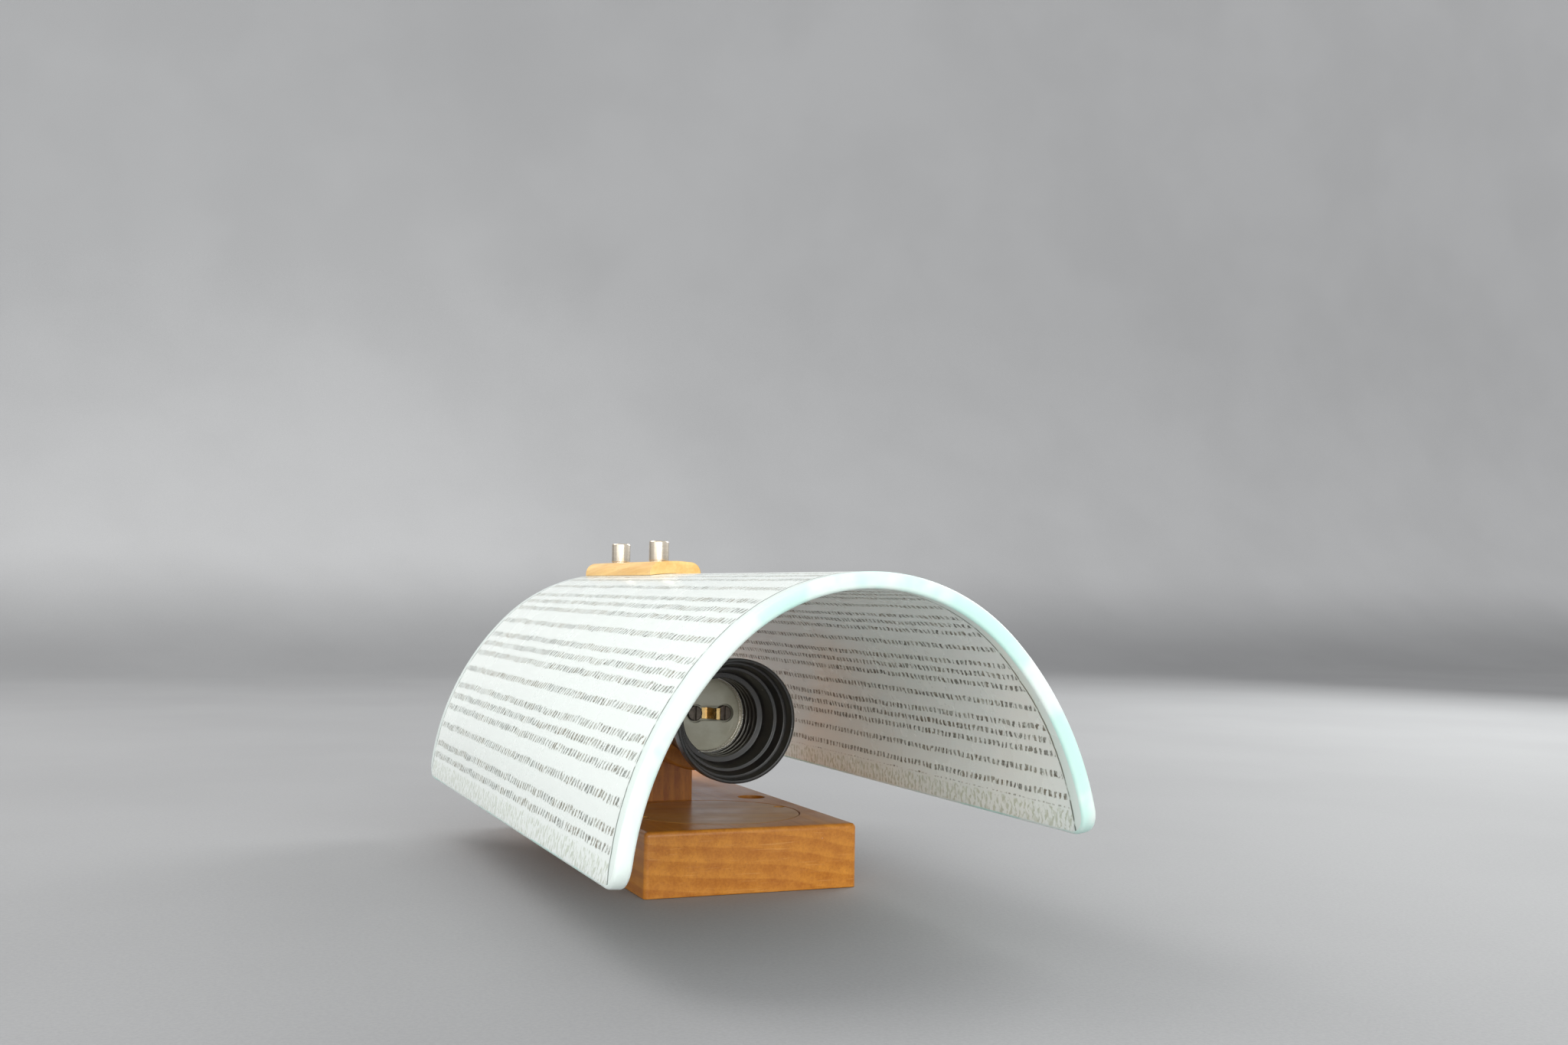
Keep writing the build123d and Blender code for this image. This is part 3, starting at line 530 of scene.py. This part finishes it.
def buildShade(glass, groundGlass):
    onArc, total, ridgeAlong, nearY, farY = shadeArcs()
    corner, steps = shade["corner"], shade["cornerSteps"]
    fractions = [row / shade["rows"] for row in range(shade["rows"] + 1)]

    def columns(inset):
        tight = corner - inset
        bends = [quarterTurn * step / steps for step in range(steps + 1)]
        ends = [(inset + tight * (1 - math.cos(bend)), inset + tight * (1 - math.sin(bend)))
                for bend in bends]
        inner = shade["columns"]
        middle = [(corner + (total - 2 * corner) * step / inner, inset) for step in range(1, inner)]
        return ends + middle + [(total - along, cut) for along, cut in reversed(ends)]

    def sheet(inset, depth):
        return [[(along, nearY + cut + (farY - nearY - 2 * cut) * fraction, depth) for fraction in fractions]
                for along, cut in columns(inset)]

    def outline(grid):
        last, end = len(grid) - 1, len(grid[0]) - 1
        near = [grid[0][row] for row in range(end)] + [grid[column][end] for column in range(last)]
        far = [grid[last][row] for row in range(end, 0, -1)]
        return near + far + [grid[column][0] for column in range(last, 0, -1)]

    spots, faces, rimFaces = [], [], []

    def addSheet(grid, flip):
        start, width = len(spots), len(grid[0])
        for line in grid:
            spots.extend(line)
        for column in range(len(grid) - 1):
            for row in range(width - 1):
                a = start + column * width + row
                face = (a, a + 1, a + width + 1, a + width)
                faces.append(face[::-1] if flip else face)

    rim, thick = shade["rim"], shade["thickness"]
    addSheet(sheet(rim, 0), False)
    addSheet(sheet(rim, thick), True)
    bends = [quarterTurn * step / shade["rimSteps"] for step in range(shade["rimSteps"] + 1)]
    rings = [(rim * (1 - math.sin(bend)), rim * (1 - math.cos(bend))) for bend in bends]
    rings += [(inset, thick - depth) for inset, depth in reversed(rings)]
    starts = []
    for inset, depth in rings:
        starts.append(len(spots))
        spots.extend(outline(sheet(inset, depth)))
    around = len(spots) - starts[-1]
    for first, second in zip(starts, starts[1:]):
        for step in range(around):
            other = (step + 1) % around
            rimFaces.append((first + step, first + other, second + other, second + step))

    vertices = []
    for along, y, depth in spots:
        point = onArc(along, depth)
        vertices.append((point.x * mm, y * mm, point.y * mm))
    mesh = bpy.data.meshes.new("shadeGlass")
    mesh.from_pydata(vertices, [], faces + rimFaces)
    strokes = mesh.uv_layers.new(name="strokes")   # millimetres along the lamp, rows from each lower edge
    margins = mesh.uv_layers.new(name="margins")   # millimetres from the nearest end and the lower edge
    for index, loop in enumerate(mesh.loops):
        along, y, depth = spots[loop.vertex_index]
        if along < ridgeAlong:
            fromEdge, rowCount = along, (along - shade["leftFirstRow"]) / shade["leftPeriod"]
        else:
            fromEdge = total - along
            rowCount = (fromEdge - shade["rightFirstRow"]) / shade["rightPeriod"]
        strokes.data[index].uv = (y - nearY, rowCount)
        margins.data[index].uv = (min(y - nearY, farY - y), fromEdge)
    for index, polygon in enumerate(mesh.polygons):
        polygon.material_index = 0 if index < len(faces) else 1
    mesh.materials.append(glass)
    mesh.materials.append(groundGlass)
    piece = bpy.data.objects.new("shadeGlass", mesh)
    bpy.context.scene.collection.objects.link(piece)
    solid = bmesh.new()
    solid.from_mesh(mesh)
    bmesh.ops.remove_doubles(solid, verts=solid.verts, dist=0.000001)
    bmesh.ops.recalc_face_normals(solid, faces=solid.faces)
    solid.to_mesh(mesh)
    solid.free()
    drillShade(piece, groundGlass)
    piece.data.set_sharp_from_angle(angle=math.radians(40))
    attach(piece, "lamp")
    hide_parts("shade_glass")


def drillShade(piece, groundGlass):
    low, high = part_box("shade_glass")
    cutters = bmesh.new()
    for side in ("near", "far"):
        nutLow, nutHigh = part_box(side + "_nut")
        made = bmesh.ops.create_cone(cutters, cap_ends=True, segments=shade["holeSides"],
                                     radius1=shade["hole"] * mm, radius2=shade["hole"] * mm,
                                     depth=4 * shade["thickness"] * mm)
        middle = (nutLow + nutHigh) / 2
        bmesh.ops.translate(cutters, verts=made["verts"], vec=(middle.x, middle.y, high.z))
    mesh = bpy.data.meshes.new("drill")
    cutters.to_mesh(mesh)
    cutters.free()
    mesh.materials.append(groundGlass)
    drill = bpy.data.objects.new("drill", mesh)
    bpy.context.scene.collection.objects.link(drill)
    cut = piece.modifiers.new("drill", "BOOLEAN")
    cut.object = drill
    cut.solver = "EXACT"
    bpy.context.view_layer.update()
    drilled = bpy.data.meshes.new_from_object(piece.evaluated_get(bpy.context.evaluated_depsgraph_get()))
    piece.modifiers.clear()
    piece.data = drilled
    bpy.data.objects.remove(drill)
    drilled.shade_smooth()


# Strokes: rows of short slanted marks, a band of long ones at the lower edge and a fine line inside
# each end. Lengths are in millimetres. Noise scales are in repeats per millimetre, but the last three
# are per metre.
strokeSizes = {
    "period": 24.7, "rowGap": 4.75, "reach": 0.95, "reachNoise": 0.45, "rowFade": 0.6,
    "wander": 1.8, "wanderNoise": 0.09, "lean": 0.5, "jitter": 4.0, "jitterNoise": 0.21, "darkNoise": 0.14,
    "gap": 2.9, "markWidth": (0.17, 0.36), "markFade": 0.09, "weightNoise": 0.32,
    "fineGap": 2.9 * 0.618, "fineShift": 1.3, "fineWidth": (0.0, 0.26), "fineAmount": 0.7,
    "endMargin": (6.2, 7.4), "lowerMargin": (8.2, 9.0), "tintNoise": 0.06,
    "bandFoot": (0.4, 1.2), "bandTop": 6.4, "bandWander": 3.2, "bandNoise": 0.3, "bandJitter": 5.0,
    "bandFade": 0.9, "bandMargin": (5.6, 6.6), "bandBars": ((0.42, 2.7), (-0.3, 4.3)), "secondBar": 0.6,
    "barWidth": (0.05, 0.36), "barNoise": 0.4, "barFade": 0.16,
    "lineAt": 5.6, "lineWander": 1.6, "lineWidth": (0.62, 0.2),
    "crumbNoise": 1300.0, "lineNoise": 110.0, "breakNoise": 240.0,
}


def makeStrokeRows():
    tree, given, out = newGroup(
        "strokeRows", {"Strokes": "", "Margins": "", "Place": ""},
        {"Ink": "Float", "Band": "Float", "Line": "Float", "Tint": "Float"},
    )
    flat = stretch(tree, given["Strokes"], (1, strokeSizes["period"], 1))
    along = addNode(tree, "SeparateXYZ", {"Vector": flat}).outputs
    margin = addNode(tree, "SeparateXYZ", {"Vector": given["Margins"]}).outputs

    def fromBeat(value, gap):
        beat = calc(tree, "FRACT", calc(tree, "DIVIDE", value, gap))
        return calc(tree, "ABSOLUTE", calc(tree, "SUBTRACT", beat, 0.5))

    def within(value, limit, fade):
        return remap(tree, value, limit, calc(tree, "SUBTRACT", limit, fade))

    drift = calc(tree, "SUBTRACT", noise(tree, flat, strokeSizes["wanderNoise"], 3.0), 0.5)
    tall = calc(tree, "MULTIPLY_ADD", drift, strokeSizes["wander"], along[1])
    fromMiddle = calc(tree, "MULTIPLY", fromBeat(tall, strokeSizes["period"]), strokeSizes["period"])
    fromSingle = calc(tree, "SUBTRACT", strokeSizes["period"] / 2, fromMiddle)
    fromSide = calc(tree, "ABSOLUTE", calc(tree, "SUBTRACT", fromMiddle, strokeSizes["rowGap"]))
    nearest = calc(tree, "MINIMUM", calc(tree, "MINIMUM", fromMiddle, fromSingle), fromSide)
    reach = calc(tree, "ADD", noise(tree, flat, strokeSizes["reachNoise"], 2.0), strokeSizes["reach"])
    row = within(nearest, reach, strokeSizes["rowFade"])
    jitter = calc(tree, "SUBTRACT", noise(tree, flat, strokeSizes["jitterNoise"], 2.0), 0.5)
    leaning = calc(tree, "MULTIPLY_ADD", jitter, strokeSizes["jitter"],
                   calc(tree, "MULTIPLY_ADD", tall, strokeSizes["lean"], along[0]))
    weight = noise(tree, flat, strokeSizes["weightNoise"], 3.0, 0.6)

    def strokesAt(gap, shift, widths):
        distance = fromBeat(calc(tree, "ADD", leaning, shift), gap)
        return within(distance, remap(tree, weight, 0.3, 0.7, *widths), strokeSizes["markFade"])

    fineMarks = strokesAt(strokeSizes["fineGap"], strokeSizes["fineShift"], strokeSizes["fineWidth"])
    mark = calc(tree, "MAXIMUM", strokesAt(strokeSizes["gap"], 0.0, strokeSizes["markWidth"]),
                calc(tree, "MULTIPLY", fineMarks, strokeSizes["fineAmount"]))
    crumbs = noise(tree, given["Place"], strokeSizes["crumbNoise"], 3.0, 0.7)
    crumb = remap(tree, crumbs, 0.3, 0.54, 0.45, 1.0)
    dark = remap(tree, noise(tree, flat, strokeSizes["darkNoise"], 3.0, 0.7), 0.3, 0.64, 0.6, 1.0)
    inside = calc(tree, "MULTIPLY", remap(tree, margin[0], *strokeSizes["endMargin"]),
                  remap(tree, margin[1], *strokeSizes["lowerMargin"]))
    ink = calc(tree, "MULTIPLY", calc(tree, "MULTIPLY", row, mark), calc(tree, "MULTIPLY", crumb, dark))
    tree.links.new(calc(tree, "MULTIPLY", ink, inside), out["Ink"])

    bandTop = calc(tree, "MULTIPLY_ADD", noise(tree, flat, strokeSizes["bandNoise"], 3.0),
                   strokeSizes["bandWander"], strokeSizes["bandTop"])
    inBand = calc(tree, "MULTIPLY", within(margin[1], bandTop, strokeSizes["bandFade"]),
                  remap(tree, margin[1], *strokeSizes["bandFoot"]))
    bars = []
    for lean, gap in strokeSizes["bandBars"]:
        slanted = calc(tree, "MULTIPLY_ADD", jitter, strokeSizes["bandJitter"],
                       calc(tree, "MULTIPLY_ADD", margin[1], lean, along[0]))
        barWeight = noise(tree, flat, strokeSizes["barNoise"], 2.0)
        barWidth = remap(tree, barWeight, 0.3, 0.7, *strokeSizes["barWidth"])
        bars.append(within(fromBeat(slanted, gap), barWidth, strokeSizes["barFade"]))
    crossed = calc(tree, "MAXIMUM", bars[0], calc(tree, "MULTIPLY", bars[1], strokeSizes["secondBar"]))
    banded = calc(tree, "MULTIPLY", crossed, inBand)
    awayFromEnd = remap(tree, margin[0], *strokeSizes["bandMargin"])
    tree.links.new(calc(tree, "MULTIPLY", banded, awayFromEnd), out["Band"])

    shaken = calc(tree, "SUBTRACT", noise(tree, given["Place"], strokeSizes["lineNoise"], 3.0), 0.5)
    fromEnd = calc(tree, "MULTIPLY_ADD", shaken, strokeSizes["lineWander"], margin[0])
    line = remap(tree, calc(tree, "ABSOLUTE", calc(tree, "SUBTRACT", fromEnd, strokeSizes["lineAt"])),
                 *strokeSizes["lineWidth"])
    broken = remap(tree, noise(tree, given["Place"], strokeSizes["breakNoise"], 2.0), 0.32, 0.48)
    tree.links.new(calc(tree, "MULTIPLY", line, broken), out["Line"])
    tree.links.new(noise(tree, flat, strokeSizes["tintNoise"], 2.0), out["Tint"])
    return tree


strokeRows = makeStrokeRows()
glassValues = {
    "white": (0.86, 0.925, 0.88), "cool": (0.81, 0.9, 0.85), "coolAmount": 0.2, "cloudScale": 22.0,
    "cloudCut": (0.35, 0.68), "margin": (0.76, 0.86, 0.81), "marginCut": (6.4, 5.0),
    "edge": (0.55, 0.82, 0.74),
    "ink": (0.06, 0.06, 0.048), "inkWarm": (0.13, 0.1, 0.055), "warmCut": (0.4, 0.6), "inkAmount": 0.94,
    "band": (0.42, 0.46, 0.34), "bandAmount": 0.6, "line": (0.08, 0.1, 0.08), "lineAmount": 0.85,
    "dust": 0.2, "dustColour": (0.5, 0.47, 0.42), "speckSize": 0.9,
    "rough": 0.24, "inkRough": 0.3, "groundRough": 0.12, "smudgeRough": 0.05, "groundGrit": 1400.0,
    "inkDepth": -0.6, "bandDepth": -0.4, "relief": 0.35, "depth": 0.00012,
    "scatter": (0.95, 1.0, 0.98), "scatterScale": 0.012, "scatterWeight": 0.4, "bending": 1.5,
    "coat": 0.15, "coatRough": 0.08,
}


def glassMaterial(name, patterned):
    material, tree, shader, spot = newMaterial(name)
    marks = placeGroup(tree, handling, {"Place": spot, "Speck Size": glassValues["speckSize"]})
    cloudy = remap(tree, noise(tree, spot, glassValues["cloudScale"], 4.0, 0.6), *glassValues["cloudCut"])
    if patterned:
        strokes = addNode(tree, "UVMap", uv_map="strokes").outputs[0]
        margins = addNode(tree, "UVMap", uv_map="margins").outputs[0]
        pattern = placeGroup(tree, strokeRows, {"Strokes": strokes, "Margins": margins, "Place": spot})
        fromEnd = addNode(tree, "SeparateXYZ", {"Vector": margins}).outputs[0]
        ends = remap(tree, fromEnd, *glassValues["marginCut"])
        ground = mixColour(tree, calc(tree, "MULTIPLY", cloudy, glassValues["coolAmount"]),
                           (*glassValues["white"], 1), (*glassValues["cool"], 1))
        ground = mixColour(tree, ends, ground, (*glassValues["margin"], 1))
        banded = mixColour(tree, calc(tree, "MULTIPLY", pattern["Band"], glassValues["bandAmount"]), ground,
                           (*glassValues["band"], 1))
        lined = mixColour(tree, calc(tree, "MULTIPLY", pattern["Line"], glassValues["lineAmount"]), banded,
                          (*glassValues["line"], 1))
        warmth = remap(tree, pattern["Tint"], *glassValues["warmCut"])
        inkTone = mixColour(tree, warmth, (*glassValues["ink"], 1), (*glassValues["inkWarm"], 1))
        inked = calc(tree, "MULTIPLY", pattern["Ink"], glassValues["inkAmount"])
        colour = mixColour(tree, inked, lined, inkTone)
        height = calc(tree, "ADD", calc(tree, "MULTIPLY", pattern["Ink"], glassValues["inkDepth"]),
                      calc(tree, "MULTIPLY", pattern["Band"], glassValues["bandDepth"]))
        roughMarks = calc(tree, "MULTIPLY_ADD", pattern["Ink"], glassValues["inkRough"], glassValues["rough"])
    else:
        colour = mixColour(tree, remap(tree, cloudy, 0.1, 0.6), (*glassValues["edge"], 1),
                           (*glassValues["margin"], 1))
        height = noise(tree, spot, glassValues["groundGrit"], 2.0)
        roughMarks = glassValues["rough"] + glassValues["groundRough"]
    dusty = mixColour(tree, calc(tree, "MULTIPLY", marks["Speck"], glassValues["dust"]), colour,
                      (*glassValues["dustColour"], 1))
    tree.links.new(dusty, shader.inputs["Base Color"])
    tree.links.new(calc(tree, "MULTIPLY_ADD", marks["Smudge"], glassValues["smudgeRough"], roughMarks),
                   shader.inputs["Roughness"])
    bump(tree, shader, height, glassValues["relief"], glassValues["depth"])
    setShader(shader, {
        "Subsurface Weight": glassValues["scatterWeight"], "Subsurface Radius": glassValues["scatter"],
        "Subsurface Scale": glassValues["scatterScale"], "IOR": glassValues["bending"],
        "Coat Weight": glassValues["coat"], "Coat Roughness": glassValues["coatRough"]})
    return material


buildShade(glassMaterial("patternedGlass", True), glassMaterial("groundGlass", False))
print("shade built")

# Studio: a pale floor that rises behind, a soft lamp behind on each side and two fills in front
studio = {
    "floorColour": (0.28, 0.28, 0.285), "wallColourPaintedLighter": (0.5, 0.5, 0.505), "world": (0.98, 0.99, 1.0),
    "worldStrength": 0.84,
    "lamps": [
        ("keyLamp", (-0.7, 0.75, 1.15), (0.9, 0.9), 11.0, (1.0, 0.99, 0.97)),
        ("frontFill", (-0.25, -1.3, 0.4), (1.2, 0.8), 10.5, (0.97, 1.0, 0.98)),
        ("rightLamp", (1.1, 0.45, 0.7), (0.8, 0.8), 11.0, (0.98, 1.0, 0.99)),
        ("leftFill", (-0.95, -0.7, 0.4), (0.9, 0.7), 2.5, (0.98, 1.0, 0.99)),
    ],
    "aim": (0, -0.04, 0.06), "floorFront": -2.2, "bendStart": 1.3, "bendRadius": 0.6, "bendSteps": 12,
    "wallTop": 2.6, "sides": (-3.0, 3.0), "floorDrop": 0.00015, "wallRise": 0.16, "floorRough": 0.75,
}


def buildFloor():
    start, radius, steps = studio["bendStart"], studio["bendRadius"], studio["bendSteps"]
    rows = [(studio["floorFront"], 0.0), (start, 0.0)]
    for step in range(1, steps + 1):
        bend = quarterTurn * step / steps
        rows.append((start + radius * math.sin(bend), radius - radius * math.cos(bend)))
    rows.append((start + radius, studio["wallTop"]))
    vertices = [(x, y, z - studio["floorDrop"]) for y, z in rows for x in studio["sides"]]
    faces = [(2 * row, 2 * row + 1, 2 * row + 3, 2 * row + 2) for row in range(len(rows) - 1)]
    floor = meshObject("studioFloor", vertices, faces, 60.0)
    material, tree, shader, spot = newMaterial("paleFloor")
    grit = noise(tree, spot, 900.0, 3.0, 0.7)
    cloud = noise(tree, spot, 5.0, 3.0)
    tone = calc(tree, "ADD", remap(tree, grit, 0.25, 0.75, 0.95, 1.05),
                remap(tree, cloud, 0.3, 0.7, -0.03, 0.03))
    height = addNode(tree, "SeparateXYZ", {"Vector": spot}).outputs[2]
    # The wall is painted lighter than the floor, standing in for the lamp light that falls on the floor and
    # misses the wall: painted light
    rise = remap(tree, height, 0.0, studio["wallRise"])
    plain = mixColour(tree, rise, (*studio["floorColour"], 1), (*studio["wallColourPaintedLighter"], 1))
    tree.links.new(mixColour(tree, 1.0, plain, tone, "MULTIPLY"), shader.inputs["Base Color"])
    shader.inputs["Roughness"].default_value = studio["floorRough"]
    bump(tree, shader, grit, 0.15, 0.0004)
    floor.data.materials.append(material)


def buildLamps():
    aim = Vector(studio["aim"])
    for name, spot, size, power, colour in studio["lamps"]:
        light = bpy.data.lights.new(name, "AREA")
        light.shape = "RECTANGLE"
        light.size, light.size_y = size
        light.energy = power
        light.color = colour
        lamp = bpy.data.objects.new(name, light)
        lamp.location = spot
        lamp.rotation_mode = "QUATERNION"
        lamp.rotation_quaternion = (aim - Vector(spot)).to_track_quat("-Z", "Y")
        bpy.context.scene.collection.objects.link(lamp)
    world = bpy.data.worlds.new("softRoom")
    world.use_nodes = True
    background = world.node_tree.nodes["Background"]
    background.inputs["Color"].default_value = (*studio["world"], 1)
    background.inputs["Strength"].default_value = studio["worldStrength"]
    bpy.context.scene.world = world


# The camera of the photograph, solved from the edges of the base, the lampholder and the shade
cameraValues = {
    "place": (-0.203745, -0.602749, 0.104632), "yaw": 22.491, "pitch": 2.521, "roll": 0.969, "lens": 36.258,
}


def buildCamera():
    lens = bpy.data.cameras.new("photoCamera")
    lens.sensor_width = 36
    lens.sensor_fit = "HORIZONTAL"
    lens.lens = cameraValues["lens"]
    lens.clip_start, lens.clip_end = 0.01, 20
    camera = bpy.data.objects.new("photoCamera", lens)
    camera.location = cameraValues["place"]
    camera.rotation_mode = "QUATERNION"
    camera.rotation_quaternion = (
        Quaternion((0, 0, 1), -math.radians(cameraValues["yaw"]))
        @ Quaternion((1, 0, 0), math.radians(90 + cameraValues["pitch"]))
        @ Quaternion((0, 0, 1), math.radians(cameraValues["roll"])))
    bpy.context.scene.collection.objects.link(camera)
    bpy.context.scene.camera = camera


buildFloor()
buildLamps()
buildCamera()
bpy.context.scene.view_settings.view_transform = "Standard"
print("studio built")
